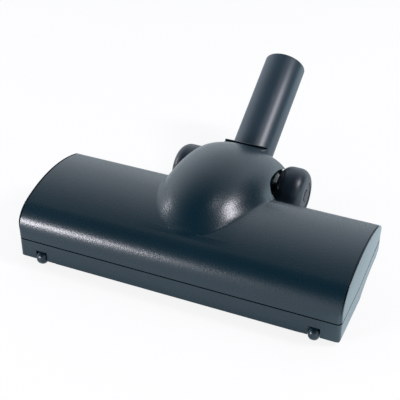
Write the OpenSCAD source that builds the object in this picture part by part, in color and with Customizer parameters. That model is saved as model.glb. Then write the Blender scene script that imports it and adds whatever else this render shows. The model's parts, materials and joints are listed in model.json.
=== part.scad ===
/* [Body] */
// Width of the body from end face to end face
body_w = 290; // [270:1:310]
// Depth of the body from the front face to the rear edge
body_d = 113.5; // [112:0.5:116]
// Height of the top cover's crest above the floor
crest_z = 57.6; // [56:0.2:60]
// Distance of the crest behind the front face
crest_y = 57.5; // [55:0.5:60]
// Radius of the long crown curve
crown_r = 128; // [120:1:140]
// Radius of the front curve of the end profile
nose_r = 25; // [22:0.5:28]
// Radius of the rear curve of the end profile
tail_r = 16; // [14:0.5:18]
// Height of the seam between base and cover at the front
seam_z = 22.5; // [21:0.5:24]
// Rise of the seam from the front to the rear edge
seam_rise = 9; // [7:0.5:10]
// Depth of the seam's shadow groove
seam_gap = 1.2; // [0.8:0.1:1.6]
// Wall thickness of the moulded shells
wall = 2.5; // [2:0.1:3]
// Corner radius of the body seen from above
corner_r = 4; // [3:0.5:6]

/* [Hood] */
// Widest width of the hood
hood_w = 100; // [94:1:102]
// Height of the hood's section above its own base line
hood_h = 44.9; // [43:0.1:47]
// Height of the hood's base line
hood_z = 36.8; // [36:0.1:38]
// Distance of the widest section behind the front face
hood_y = 98.5; // [96:0.5:101]
// Length of the rounded nose in front of that section
hood_nose = 80; // [76:0.5:81]
// Length over which the hood would fall to its base line
hood_fall = 73; // [71:0.5:76]
// Distance of the hood's rear edge behind the front face
hood_end = 157; // [155:0.5:158]
// Width of the flat lip over the neck
lip_w = 41.6; // [36:0.2:44]
// Height of the lip's free edge
lip_z = 59.2; // [59:0.1:60]
// Reach of the lip behind the hood
lip_reach = 11.5; // [8:0.5:12]
// Height of the fillet at the hood's foot
foot_fillet = 7; // [5:0.5:10]

/* [Brush] */
// Distance of the brush axis behind the front face
brush_y = 30; // [29:0.5:31]
// Height of the brush axis
brush_z = 25; // [24.8:0.1:25.4]
// Radius of the bristle tips
tip_r = 24.4; // [23:0.1:24.6]
// Radius of the brush roller's core
core_r = 11; // [9:0.5:11.5]
// Distance of the brush window's ends from the body's end faces
window_in = 29; // [28.5:0.5:35]
// Radius of the brush shaft
brush_shaft_r = 3; // [2.5:0.25:3.5]

/* [Drive] */
// Distance of the turbine axis behind the front face
turbine_y = 86; // [85:0.5:87]
// Height of the turbine axis
turbine_z = 46; // [45.5:0.1:46.5]
// Radius of the turbine wheel
turbine_r = 22; // [20:0.5:22]
// Number of turbine blades
blades = 11; // [9:1:13]
// Width of the turbine wheel
turbine_w = 34; // [30:1:35]
// Radius of the turbine shaft
turbine_shaft_r = 2.5; // [2:0.25:3]
// Teeth of the small pulley on the turbine shaft
drive_teeth = 14; // [13:1:15]
// Teeth of the large pulley on the brush
brush_teeth = 28; // [26:1:30]
// Pitch of the belt's teeth
belt_pitch = 3; // [2.9:0.05:3.1]
// Width of the belt
belt_w = 8; // [6:0.5:9]
// Distance of the belt's centre from the middle of the body
belt_x = 32.5; // [32:0.5:34]

/* [Neck] */
// Distance of the neck pivot and wheel axle behind the front face
pivot_y = 157; // [155:0.5:160]
// Angle of the neck above the floor as it stands
neck_angle = 30.5; // [29:0.5:32]
// Distance of the neck's mouth from its pivot
neck_len = 133.3; // [120:0.5:150]
// Outer radius of the neck tube
neck_r = 19.9; // [19.5:0.1:20]
// Bore radius for the wand
socket_r = 16; // [15.5:0.1:16.5]
// Depth of the wand's socket
socket_len = 45; // [35:1:60]
// Radius of the elbow's drum
drum_r = 22.5; // [22.2:0.1:22.8]
// Half width of the elbow's drum
drum_half = 26; // [25:0.5:26]

/* [Wheels] */
// Radius of the rear wheels
wheel_r = 24; // [23.8:0.1:25]
// Width of a rear wheel
wheel_w = 26.5; // [22:0.5:28]
// Distance of a rear wheel's inner face from the middle
wheel_in = 37.5; // [37:0.5:40]
// Radius of the rear wheels' rounded shoulders
shoulder_r = 10; // [6:0.5:10.5]
// Radius of the wheel pins
pin_r = 3; // [2.5:0.25:3.5]
// Radius of the front rollers
roller_r = 6.2; // [6:0.1:6.6]
// Width of a front roller
roller_w = 9.3; // [7:0.1:9.5]
// Radius of a front roller's rounded tread
roller_round = 4.2; // [2:0.2:4.4]
// Distance of a front roller's axle behind the front face
roller_y = 2.1; // [2:0.1:4]

/* [Hidden] */
$fn = 64;

shell_colour = "#262a31";
inner_colour = "#3a3d42";
rubber_colour = "#1d1e20";
steel_colour = "#b9bdc2";
bristle_colour = "#2b2b2d";
felt_colour = "#4a4c50";

// Running clearance of a shaft in its bore
run = 0.06;
// Clearance between pieces that move past each other
gap = 0.3;
// Overlap that keeps a cut from ending on a face
cut = 1;

half_w = body_w / 2;
window_w = body_w - 2 * window_in;
pivot_z = wheel_r;
roller_x = half_w - 21.5;
front_y = roller_y - roller_r;
crown_c = [crest_y, crest_z - crown_r];
nose_c = [nose_r, arc_centre_z(nose_r, nose_r)];
tail_c = [body_d - tail_r, arc_centre_z(body_d - tail_r, tail_r)];
rim_round = 1.5;
back_y = pivot_y + (neck_len - rim_round) * cos(neck_angle)
    + (neck_r - rim_round) * sin(neck_angle) + rim_round;

// Height of the centre of an arc that runs into the crown
function arc_centre_z(y, r) =
    crest_z - crown_r + sqrt(pow(crown_r - r, 2) - pow(crest_y - y, 2));
// Height of the cover's outer surface without the hood
function body_top(y) =
    y < nose_c.x ? nose_c.y + sqrt(max(0, pow(nose_r, 2) - pow(y - nose_c.x, 2)))
    : y > tail_c.x ? tail_c.y + sqrt(max(0, pow(tail_r, 2) - pow(y - tail_c.x, 2)))
    : crown_c.y + sqrt(pow(crown_r, 2) - pow(y - crown_c.x, 2));
function seam_at(y) = seam_z + seam_rise * max(0, y - 50) / (body_d - 50);
// Share of the hood's full section that is reached at a distance y
function nose_share(y) = sqrt(max(0, 1 - pow((hood_y - y) / hood_nose, 2)));
function fall_share(y) = sqrt(max(0, 1 - pow((y - hood_y) / hood_fall, 2)));
function hood_half(y) = hood_w / 2
    * (y < hood_y ? nose_share(y) : 1 - 0.06 * pow((y - hood_y) / (hood_end - hood_y), 2));
function hood_rise(y) = hood_h * (y < hood_y ? nose_share(y) : fall_share(y));
function hood_top(x, y, inset) =
    let (a = hood_half(y) - inset, b = hood_rise(y) - inset)
    abs(x) < a ? hood_z + b * sqrt(1 - pow(x / a, 2)) : hood_z - 2 * foot_fillet;
// Larger of two heights with a rounded change between them
function blend(p, q, k) = max(p, q) + pow(max(0, k - abs(p - q)), 2) / (4 * k);

// Moves a piece drawn from the front face to the part's own origin
module placed() translate([0, -(front_y + back_y) / 2, 0]) children();

// Extrudes an outline drawn as (depth, height) along the width
module along_x(x0, x1) translate([x0, 0, 0]) rotate([90, 0, 90])
    linear_extrude(x1 - x0) children();

module rod(r, x0, x1, y, z) translate([x0, y, z]) rotate([0, 90, 0])
    cylinder(r = r, h = x1 - x0);

module block(x0, x1, y0, y1, z0, z1)
    translate([x0, y0, z0]) cube([x1 - x0, y1 - y0, z1 - z0]);

// Puts a piece on both sides of the middle
module both_sides() {
    children();
    mirror([1, 0, 0]) children();
}

module on_neck() translate([0, pivot_y, pivot_z]) rotate([neck_angle - 90, 0, 0]) children();

module rounded_plan(inset, h) {
    w = half_w - inset;
    r = corner_r - min(inset, corner_r - 1);
    linear_extrude(h) {
        translate([-w + r, inset]) square([2 * (w - r), body_d - 2 * inset]);
        translate([-w, inset + r]) square([2 * w, body_d - 2 * (inset + r)]);
        for (x = [-w + r, w - r])
            for (y = [inset + r, body_d - inset - r])
                translate([x, y]) circle(r, $fn = 28);
    }
}

// End profile of the body, made of three arcs over straight front and rear faces
module body_outline(inset) {
    u = (nose_c - crown_c) / norm(nose_c - crown_c);
    v = (tail_c - crown_c) / norm(tail_c - crown_c);
    translate(nose_c) circle(nose_r - inset, $fn = 80);
    translate(tail_c) circle(tail_r - inset, $fn = 72);
    intersection() {
        translate(crown_c) circle(crown_r - inset, $fn = 240);
        polygon([nose_c, nose_c + crest_z * u, tail_c + crest_z * v, tail_c]);
    }
    polygon([
        [inset, 0], [inset, nose_c.y], nose_c, tail_c,
        [body_d - inset, tail_c.y], [body_d - inset, 0]
    ]);
}

module above_seam(lift) polygon([
    [-cut, seam_z + lift], [50, seam_z + lift], [body_d, seam_z + seam_rise + lift],
    [body_d + cut, seam_z + seam_rise + lift], [body_d + cut, 2 * crest_z], [-cut, 2 * crest_z]
]);

// Solid through a row of rings with equally many points
module loft(rings) {
    n = len(rings[0]);
    last = len(rings) - 1;
    points = [for (ring = rings) each ring];
    sides = [
        for (j = [0:last - 1]) for (i = [0:n - 1])
            let (a = j * n + i, b = j * n + (i + 1) % n)
            each [[a, b, b + n], [a, b + n, a + n]]
    ];
    front = [[for (i = [n - 1:-1:0]) i]];
    rear = [[for (i = [0:n - 1]) last * n + i]];
    polyhedron(points, concat(sides, front, rear), convexity = 6);
}

// Outer form of the hood, with a fillet where it grows out of the cover
module hood_outer() {
    steps = 34;
    first = hood_y - hood_nose + 3;
    loft([
        for (j = [0:22])
            let (
                y = first + (hood_end - first) * j / 22,
                reach = hood_half(y) + foot_fillet,
                low = max(body_top(y) - gap, hood_z - 1)
            )
            [
                [-reach, y, hood_z - 3], [reach, y, hood_z - 3],
                for (i = [0:steps])
                    let (x = reach * cos(180 * i / steps))
                    [x, y, blend(hood_top(x, y, 0), low, foot_fillet)]
            ]
    ]);
}

module hood_inner() {
    steps = 20;
    first = hood_y - hood_nose + 2 * wall;
    reach_end = hood_end + cut;
    loft([
        for (j = [0:14])
            let (y = first + (reach_end - first) * j / 14, a = hood_half(y) - wall)
            [
                [-a, y, hood_z - 3 * wall], [a, y, hood_z - 3 * wall],
                for (i = [0:steps])
                    let (t = 180 * i / steps)
                    [a * cos(t), y, hood_z + (hood_rise(y) - wall) * sin(t)]
            ]
    ]);
}

// Opening under the hood for the neck and over the rear wheels
module arch_cut() {
    front = body_d - 6;
    step = hood_w / 2 + foot_fillet + 2;
    intersection() {
        along_x(-step, step) polygon([
            [front - cut, -cut], [front - cut, crest_z - 9], [front + 1.5, crest_z - 2.5],
            [front + 5, crest_z + 0.8], [front + 10, crest_z + 2.2], [front + 17, crest_z + 2.1],
            [hood_end - 18, crest_z - 0.8], [hood_end - 6, crest_z - 6], [hood_end + 3, crest_z - 12.1],
            [hood_end + 15, crest_z - 15.6], [hood_end + 15, -cut]
        ]);
        linear_extrude(2 * crest_z) {
            translate([-hood_w / 2 + 8, front]) square([hood_w - 16, 60]);
            translate([-hood_w / 2, front + 8]) square([hood_w, 60]);
            translate([-step, body_d + 0.01]) square([2 * step, 60]);
            for (s = [-1, 1]) translate([s * (hood_w / 2 - 8), front + 8]) circle(8);
        }
    }
}

lip_start = hood_end - 13;
lip_end = hood_end + lip_reach;
lip_corner = 1.5;
lip_rim = 1.2;

// Flat plate that grows out of the dome, with a thin rim turned up over the neck
module neck_lip() intersection() {
    along_x(-lip_w / 2, lip_w / 2) polygon([
        [lip_start, lip_z + 7.4], [hood_end - 2, lip_z + 5], [lip_end - lip_rim, lip_z - 1.6],
        [lip_end - lip_rim, lip_z], [lip_end, lip_z], [lip_end, lip_z - 3],
        [hood_end, lip_z + 1.2], [lip_start, lip_z + 4]
    ]);
    linear_extrude(2 * crest_z) {
        translate([-lip_w / 2, lip_start]) square([lip_w, lip_end - lip_start - lip_corner]);
        translate([-lip_w / 2 + lip_corner, lip_start])
            square([lip_w - 2 * lip_corner, lip_end - lip_start]);
        for (s = [-1, 1]) translate([s * (lip_w / 2 - lip_corner), lip_end - lip_corner]) circle(lip_corner);
    }
}

screw_places = [[half_w - 20, 72], [half_w / 2, 98], [half_w / 2, 66]];
boss_r = 4.5;
screw_r = 1.7;
screw_head_r = 3.4;

module cover_bosses() both_sides() for (p = screw_places) difference() {
    intersection() {
        translate([p.x, p.y, seam_at(p.y) + 0.05]) cylinder(r = boss_r, h = crest_z);
        along_x(0, half_w) body_outline(wall - 0.5);
    }
    translate([p.x, p.y, 0]) cylinder(r = screw_r + 0.05, h = seam_at(p.y) + 15);
}

rib_places = [0.15, 0.36, 0.59, 0.77, 0.94] * half_w;

// Stiffening rib under the cover, thinner towards its free edge
module cover_rib(x) intersection() {
    hull() {
        block(x - 0.5, x + 0.5, 0, body_d, 0, 1);
        block(x - 1.1, x + 1.1, 0, body_d, crest_z, crest_z + 1);
    }
    along_x(x - 2, x + 2) difference() {
        intersection() {
            body_outline(wall - 0.5);
            above_seam(gap);
        }
        body_outline(wall + 2);
        translate([brush_y, brush_z]) circle(tip_r + 0.8);
        translate([partition_y - gap, 0]) square([wall + 2 * gap, 2 * crest_z]);
    }
}

module top_cover() color(shell_colour) placed() {
    difference() {
        union() {
            intersection() {
                along_x(-half_w, half_w) intersection() {
                    body_outline(0);
                    above_seam(0);
                }
                rounded_plan(0, 2 * crest_z);
            }
            hood_outer();
            neck_lip();
        }
        intersection() {
            along_x(-half_w + wall, half_w - wall) body_outline(wall);
            rounded_plan(wall, 2 * crest_z);
        }
        hood_inner();
        arch_cut();
        both_sides() end_groove();
    }
    both_sides() for (x = rib_places) difference() {
        cover_rib(x);
        hood_inner();
        arch_cut();
    }
    cover_bosses();
}

// Groove that sets the flat end apart from the curved top
module end_groove() along_x(half_w - 1.6, half_w - 0.5) difference() {
    intersection() {
        translate([-cut, 0]) square([body_d + 2 * cut, 2 * crest_z]);
        above_seam(-cut);
    }
    body_outline(1.3);
}

base_low = 4;
base_under = [
    [0, base_low], [56.5, base_low], [59.5, 7.5], [65, 9.8], [74, 12.8],
    [body_d - 23.5, 16], [body_d - 11.5, 17], [body_d - 5, 20], [body_d - 1.7, 25.5], [body_d, 30]
];
skid_low = base_low - 1.2;
lip_in = seam_gap + 0.9;
partition_y = 55.2;

module base_outline(top) polygon(concat(base_under, [
    [body_d, seam_z + seam_rise + top], [50, seam_z + top], [0, seam_z + top]
]));

module base_inside() intersection() {
    polygon(concat([for (p = base_under) [p.x, p.y + wall]], [
        [body_d, 2 * crest_z], [0, 2 * crest_z]
    ]));
    translate([wall, 0]) square([body_d - 2 * wall, 2 * crest_z]);
}

// Body seen from the front, with its lower corners rounded
module rounded_ends() {
    r = 3;
    translate([0, body_d + cut, 0]) rotate([90, 0, 0]) linear_extrude(body_d + 2 * cut) {
        translate([-half_w + r, skid_low]) square([body_w - 2 * r, crest_z]);
        translate([-half_w, skid_low + r]) square([body_w, crest_z]);
        for (s = [-1, 1]) translate([s * (half_w - r), skid_low + r]) circle(r);
    }
}

// Lower shell with a tongue that stands inside the cover's edge
module base_shell() difference() {
    union() {
        difference() {
            intersection() {
                along_x(-half_w, half_w) base_outline(-seam_gap);
                rounded_plan(0, crest_z);
                rounded_ends();
            }
            intersection() {
                along_x(-half_w, half_w) base_inside();
                rounded_plan(wall, 2 * crest_z);
            }
        }
        difference() {
            intersection() {
                along_x(-half_w, half_w) intersection() {
                    base_outline(-0.02);
                    above_seam(-5);
                }
                rounded_plan(lip_in, crest_z);
            }
            rounded_plan(lip_in + 1.8, 2 * crest_z);
        }
    }
    block(-window_w / 2 - 1, window_w / 2 + 1, wall + 1, partition_y - 1, -cut, base_low + 2 * wall);
    block(-hood_w / 2 + 4, hood_w / 2 - 4, body_d - 2 * wall, body_d + cut, seam_at(body_d) - 5.3, crest_z);
}

// Wall between the brush chamber and the drive, with windows for air and belt
module partition() difference() {
    union() {
        intersection() {
            along_x(-half_w + wall + gap, half_w - wall - gap) body_outline(wall + gap);
            block(-half_w, half_w, partition_y, partition_y + wall, base_low + 2, 2 * crest_z);
        }
        translate([0, partition_y, hood_z]) rotate([-90, 0, 0])
            cylinder(r = hood_rise(partition_y) - wall - 2, h = wall);
    }
    block(-14, 14, partition_y - cut, partition_y + wall + cut, 24.5, 37);
    block(belt_x - 6.5, belt_x + 6.5, partition_y - cut, partition_y + wall + cut, brush_z - 8, turbine_z + 6);
}

notch_half = roller_w / 2 + 0.5;
notch_y = roller_y + roller_r + 0.8;
notch_top = 2 * roller_r + 0.5;

module roller_pocket() difference() {
    block(roller_x - notch_half - 1.5, roller_x + notch_half + 1.5, wall - 1, notch_y + 1.5,
        base_low, notch_top + 1.5);
    roller_notch();
}

module roller_notch() {
    block(roller_x - notch_half, roller_x + notch_half, -cut, notch_y, -cut, notch_top);
    rod(pin_small + 0.02, roller_x - notch_half - 3, roller_x + notch_half + 3, roller_y, roller_r);
}

pin_small = 1.2;
bearing_x = window_w / 2 + 6;
bearing_w = 6.8;
bearing_r = 8;

module bearing_seat() difference() {
    block(bearing_x - 3, bearing_x + 3, notch_y + 2.5, partition_y - 9, base_low, brush_z + 14);
    rod(bearing_r + 0.1, bearing_x - 4, bearing_x + 4, brush_y, brush_z);
    block(bearing_x - 4, bearing_x + 4, brush_y - bearing_r - 0.1, brush_y + bearing_r + 0.1, -cut, brush_z);
}

lock_x = bearing_x + 0.5;
lock_y = partition_y - 6.8;
lock_r = 5.5;
lock_shaft_r = 2.6;
key_len = 9.2;
key_w = 2.4;
key_z = 10;

module lock_boss() difference() {
    translate([lock_x, lock_y, base_low]) cylinder(r = lock_r + 0.9, h = key_z + 1);
    lock_way();
}

module lock_way() translate([lock_x, lock_y, 0]) {
    translate([0, 0, -cut]) cylinder(r = lock_shaft_r + run, h = key_z + 3);
    translate([-key_w / 2 - gap, -key_len / 2 - gap, -cut]) cube([key_w + 2 * gap, key_len + 2 * gap, key_z + 3]);
    translate([0, 0, key_z - gap]) cylinder(r = key_len / 2 + gap, h = 2 + 2 * gap);
}

arm_in = drum_half + 0.8;
arm_out = wheel_in - 4;
arm_mid = arm_in + 4.4;
trunnion_r = 8.9;

stop_r = 16;
stop_pin_r = 1.6;
neck_up = 3;
cheek_r = drum_r + 0.1;

module wheel_arm() difference() {
    union() {
        rod(stop_pin_r, arm_in - 1.6, arm_in + cut, pivot_y - stop_r, pivot_z);
        along_x(arm_in, arm_out) polygon([
            [body_d - 21.5, base_low + 13.5], [body_d - 21.5, seam_z + 4.5],
            [body_d - 8, seam_at(body_d) + 1.5], [pivot_y - 4, pivot_z + 12.5],
            [pivot_y, pivot_z], [pivot_y - 3, pivot_z - 12.6],
            [body_d - 2, base_low + 15], [body_d - 9.5, base_low + 14.5]
        ]);
        rod(cheek_r, arm_in, arm_out, pivot_y, pivot_z);
    }
    difference() {
        rod(cheek_r - 1.8, arm_in + 3.2, arm_out + cut, pivot_y, pivot_z);
        rod(cheek_r - 8, arm_in, arm_out + 2 * cut, pivot_y, pivot_z);
    }
    rod(trunnion_r + run, arm_in - cut, arm_mid, pivot_y, pivot_z);
    rod(pin_r + 0.02, arm_mid - cut, arm_out + cut, pivot_y, pivot_z);
}

module skid() intersection() {
    along_x(roller_x + notch_half + 2, half_w) polygon([
        [0, base_low + 1], [1.5, skid_low], [53, skid_low], [54.5, base_low + 1]
    ]);
    rounded_plan(0, crest_z);
    rounded_ends();
}

module base_bosses() both_sides() intersection() {
    for (p = screw_places) translate([p.x, p.y, 0]) cylinder(r = boss_r, h = seam_at(p.y));
    along_x(0, half_w) base_outline(wall);
}

// Height of the underside of the base behind the brush
function base_floor(y) = lookup(y, base_under);

module screw_wells() both_sides() for (p = screw_places) translate([p.x, p.y, 0]) {
    cylinder(r = screw_head_r + 0.4, h = base_floor(p.y) + 1);
    cylinder(r = screw_r + 0.3, h = crest_z);
}

module base_housing() color(shell_colour) placed() {
    difference() {
        union() {
            base_shell();
            both_sides() {
                skid();
                bearing_seat();
                roller_pocket();
                lock_boss();
            }
        }
        both_sides() {
            roller_notch();
            block(bearing_x - 3.6, bearing_x + 3.6, brush_y - bearing_r - 0.1, brush_y + bearing_r + 0.1,
                -cut, brush_z);
            lock_way();
        }
        screw_wells();
    }
    difference() {
        union() {
            partition();
            base_bosses();
        }
        screw_wells();
    }
    both_sides() wheel_arm();
}

plate_z = 2.4;
plate_t = 1.55;
plate_half = lock_x + lock_r + 1.2;

module sole_plate() color(inner_colour) placed() difference() {
    union() {
        block(-plate_half + 8, plate_half - 8, 3, partition_y, plate_z, plate_z + plate_t);
        block(-plate_half, plate_half, notch_y + 1.5, partition_y, plate_z, plate_z + plate_t);
        block(-roller_x + notch_half + 1.5, roller_x - notch_half - 1.5, 2, 8, plate_z, plate_z + plate_t);
        block(-window_w / 2, window_w / 2, wall + 2.2, wall + 3.8, plate_z, base_low + 4);
        block(-window_w / 2, window_w / 2, partition_y - 3.8, partition_y - 2.2, plate_z, base_low + 4);
    }
    brush_windows();
    both_sides() {
        block(roller_x - notch_half - 1.5, plate_half + cut, -cut, notch_y + 1.5, -cut, 10);
        translate([lock_x, lock_y, plate_z - cut]) cylinder(r = lock_r + 0.2, h = 1.9);
        translate([lock_x, lock_y, plate_z - cut]) cylinder(r = lock_shaft_r + 0.2, h = 6);
        translate([lock_x - key_w / 2 - gap, lock_y - key_len / 2 - gap, plate_z - cut])
            cube([key_w + 2 * gap, key_len + 2 * gap, 6]);
    }
}

module brush_windows() {
    block(-window_w / 2, belt_x - 7, wall + 3.8, partition_y - 3.8, -cut, 20);
    block(belt_x + 7, window_w / 2, wall + 3.8, partition_y - 3.8, -cut, 20);
}

module lint_strips() color(felt_colour) placed() {
    block(-window_w / 2 + 4, window_w / 2 - 4, wall + 0.3, wall + 2, plate_z - 1.2, plate_z);
    block(-window_w / 2 + 4, window_w / 2 - 4, partition_y - 2.9, partition_y - 0.6, plate_z - 1.2, plate_z);
}

module lock() {
    difference() {
        translate([lock_x, lock_y, plate_z - 0.4]) cylinder(r = lock_r, h = 1.2);
        block(lock_x - 4, lock_x + 4, lock_y - 0.7, lock_y + 0.7, 0, plate_z + 0.2);
    }
    translate([lock_x, lock_y, plate_z]) cylinder(r = lock_shaft_r, h = key_z + 2 - plate_z);
    block(lock_x - key_len / 2, lock_x + key_len / 2, lock_y - key_w / 2, lock_y + key_w / 2, key_z, key_z + 2);
}

module lock_right() color(inner_colour) placed() lock();
module lock_left() color(inner_colour) placed() mirror([1, 0, 0]) lock();

module cover_screws() color(steel_colour) placed() both_sides() for (p = screw_places)
    translate([p.x, p.y, base_floor(p.y) - 1]) difference() {
        union() {
            cylinder(r = screw_head_r, h = 1.95);
            cylinder(r = screw_r, h = seam_at(p.y) - base_floor(p.y) + 13);
        }
        for (t = [0, 90]) rotate([0, 0, t]) translate([-2, -0.4, -cut]) cube([4, 0.8, cut + 1.1]);
    }

// Round roller or wheel profile turned about the width axis
module turned(x) translate([x, 0, 0]) rotate([0, 90, 0]) rotate_extrude($fn = 96) children();

// Small roller with a rounded tread
module front_roller() translate([0, roller_y, roller_r]) turned(roller_x) intersection() {
    flat = roller_w / 2 - roller_round;
    translate([pin_small + run, -roller_w / 2]) square([roller_r, roller_w]);
    union() {
        translate([0, -roller_w / 2]) square([roller_r - roller_round, roller_w]);
        translate([0, -flat]) square([roller_r, 2 * flat]);
        for (s = [-1, 1]) translate([roller_r - roller_round, s * flat]) circle(roller_round);
    }
}

module front_roller_right() color(shell_colour) placed() front_roller();
module front_roller_left() color(shell_colour) placed() mirror([1, 0, 0]) front_roller();

module roller_pin() rod(pin_small, roller_x - notch_half - 1.4, roller_x + notch_half + 1.4, roller_y, roller_r);

module roller_pin_right() color(steel_colour) placed() roller_pin();
module roller_pin_left() color(steel_colour) placed() mirror([1, 0, 0]) roller_pin();

pulley_w = belt_w + 2.6;
core_end = window_w / 2 - 1;

// Half of the roller's core, with end collar and shallow grooves for the bristle strips
module core(x0, x1) difference() {
    union() {
        rod(core_r, x0, x1, brush_y, brush_z);
        rod(core_r + 1, x0, x0 + 1.5, brush_y, brush_z);
        rod(core_r + 1, x1 - 1.5, x1, brush_y, brush_z);
    }
    rod(brush_shaft_r, x0 - cut, x1 + cut, brush_y, brush_z);
}

module brush_core_left() color(inner_colour) placed() core(-core_end, belt_x - pulley_w / 2);
module brush_core_right() color(inner_colour) placed() core(belt_x + pulley_w / 2, core_end);

strip_turn = 1.1;
strip_w = 2.2;

// Two rows of bristles that wind along the core
module bristle_pair(x0, x1) translate([x0, brush_y, brush_z]) rotate([0, 90, 0])
    linear_extrude(x1 - x0, twist = strip_turn * (x1 - x0), slices = ceil((x1 - x0) / 7), $fn = 8)
        for (t = [0, 180]) rotate(t) translate([core_r, -strip_w / 2]) square([tip_r - core_r, strip_w]);

module bristle_strips() color(bristle_colour) placed() {
    bristle_pair(-core_end + 2.5, belt_x - pulley_w / 2 - 2.5);
    bristle_pair(belt_x + pulley_w / 2 + 2.5, core_end - 2.5);
}

module brush_shaft() color(steel_colour) placed()
    rod(brush_shaft_r, -bearing_x - 3, bearing_x + 3, brush_y, brush_z);

// Bush block that slides up into its seat and rests on the sole plate
module brush_bearing() difference() {
    union() {
        rod(bearing_r, bearing_x - bearing_w / 2, bearing_x + bearing_w / 2, brush_y, brush_z);
        block(bearing_x - bearing_w / 2, bearing_x + bearing_w / 2, brush_y - bearing_r, brush_y + bearing_r,
            plate_z + plate_t + 0.05, brush_z);
    }
    rod(brush_shaft_r + run, bearing_x - 5, bearing_x + 5, brush_y, brush_z);
}

module brush_bearing_right() color(rubber_colour) placed() brush_bearing();
module brush_bearing_left() color(rubber_colour) placed() mirror([1, 0, 0]) brush_bearing();

tooth_h = 1.1;
tooth_w = 1.3;
land = 0.15;
function pitch_r(teeth) = belt_pitch * teeth / (2 * 180) * 180 / PI;

// Toothed pulley outline, turned so that a groove meets the belt's first tooth
module pulley_outline(teeth, start) difference() {
    circle(pitch_r(teeth) - land);
    for (i = [0:teeth - 1]) rotate(start + 360 * i / teeth)
        translate([pitch_r(teeth) - land - tooth_h - 0.2, -tooth_w / 2 - 0.3])
            square([2 * tooth_h, tooth_w + 0.6]);
}

// Belt run: its slope, its length between tangent points and the lean of its straight runs
belt_dy = turbine_y - brush_y;
belt_dz = turbine_z - brush_z;
belt_c = norm([belt_dy, belt_dz]);
belt_rise = atan2(belt_dz, belt_dy);
big_r = pitch_r(brush_teeth);
small_r = pitch_r(drive_teeth);
belt_lean = asin((big_r - small_r) / belt_c);
free_len = sqrt(pow(belt_c, 2) - pow(big_r - small_r, 2));
up_dir = belt_rise + 90 - belt_lean;
low_dir = belt_rise - 90 + belt_lean;

module brush_pulley() color(inner_colour) placed() difference() {
    union() {
        along_x(belt_x - pulley_w / 2, belt_x + pulley_w / 2)
            translate([brush_y, brush_z]) pulley_outline(brush_teeth, big_start);
        for (x = [belt_x - pulley_w / 2, belt_x + pulley_w / 2 - 1])
            rod(big_r + 1, x, x + 1, brush_y, brush_z);
    }
    rod(brush_shaft_r, belt_x - pulley_w, belt_x + pulley_w, brush_y, brush_z);
}

module drive_pulley() color(steel_colour) placed() difference() {
    union() {
        along_x(belt_x - pulley_w / 2, belt_x + pulley_w / 2)
            translate([turbine_y, turbine_z]) pulley_outline(drive_teeth, small_start);
        for (x = [belt_x - pulley_w / 2, belt_x + pulley_w / 2 - 1])
            rod(small_r + 1.2, x, x + 1, turbine_y, turbine_z);
    }
    rod(turbine_shaft_r, belt_x - pulley_w, belt_x + pulley_w, turbine_y, turbine_z);
}

// Outline round both pulleys at a distance from their pitch circles
module belt_loop(off) polygon([
    for (k = [0:48])
        let (a = up_dir + (180 + 2 * belt_lean) * k / 48)
        [brush_y + (big_r + off) * cos(a), brush_z + (big_r + off) * sin(a)],
    for (k = [0:32])
        let (a = low_dir + (180 - 2 * belt_lean) * k / 32)
        [turbine_y + (small_r + off) * cos(a), turbine_z + (small_r + off) * sin(a)]
]);

// Place and direction of a point at a distance along the belt's pitch line
big_wrap = (180 + 2 * belt_lean) * PI / 180 * big_r;
small_wrap = (180 - 2 * belt_lean) * PI / 180 * small_r;
belt_len = 2 * free_len + big_wrap + small_wrap;
belt_count = round(belt_len / belt_pitch);
belt_step = belt_len / belt_count;
// Groove angles of the pulleys, taken from the belt tooth in the middle of each wrap
small_mid = round((free_len + small_wrap / 2) / belt_step) * belt_step - free_len;
big_mid = round((belt_len - big_wrap / 2) / belt_step) * belt_step - (belt_len - big_wrap);
small_start = up_dir - small_mid / small_r * 180 / PI;
big_start = low_dir - big_mid / big_r * 180 / PI;

module at_belt(s) {
    run_dir = [sin(up_dir), -cos(up_dir)];
    if (s < free_len)
        translate([brush_y, brush_z] + big_r * [cos(up_dir), sin(up_dir)] + s * run_dir)
            rotate(up_dir) children();
    else if (s < free_len + small_wrap)
        translate([turbine_y, turbine_z]) rotate(up_dir - (s - free_len) / small_r * 180 / PI)
            translate([small_r, 0]) children();
    else if (s < 2 * free_len + small_wrap)
        translate([turbine_y, turbine_z] + small_r * [cos(low_dir), sin(low_dir)]
            + (s - free_len - small_wrap) * [sin(low_dir), -cos(low_dir)])
            rotate(low_dir) children();
    else
        translate([brush_y, brush_z])
            rotate(low_dir - (s - 2 * free_len - small_wrap) / big_r * 180 / PI)
                translate([big_r, 0]) children();
}

module drive_belt() color(rubber_colour) placed()
    along_x(belt_x - belt_w / 2, belt_x + belt_w / 2) difference() {
        belt_loop(1.2);
        difference() {
            belt_loop(0.02);
            for (i = [0:belt_count - 1]) at_belt(i * belt_step)
                translate([-tooth_h, -tooth_w / 2]) square([tooth_h + 0.6, tooth_w]);
        }
    }

// Curved blade between hub and rim
module blade() {
    bend = 13;
    intersection() {
        translate([bend + 0.5, 0]) difference() {
            circle(bend + 0.6);
            circle(bend - 0.6);
        }
        circle(turbine_r);
        translate([0, 2]) square([2 * turbine_r, turbine_r]);
    }
}

module turbine_wheel() color("#c9ccd0") placed() difference() {
    union() {
        along_x(-turbine_w / 2, turbine_w / 2) translate([turbine_y, turbine_z]) {
            circle(5.5);
            for (i = [0:blades - 1]) rotate(360 * i / blades) blade();
        }
        rod(turbine_r - 1, -0.8, 0.8, turbine_y, turbine_z);
    }
    rod(turbine_shaft_r, -turbine_w, turbine_w, turbine_y, turbine_z);
}

case_in = turbine_r + 1.5;
case_out = case_in + 2;
case_half = turbine_w / 2 + 2.5;
case_end = case_half + 2;
cup_r = 8;

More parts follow.
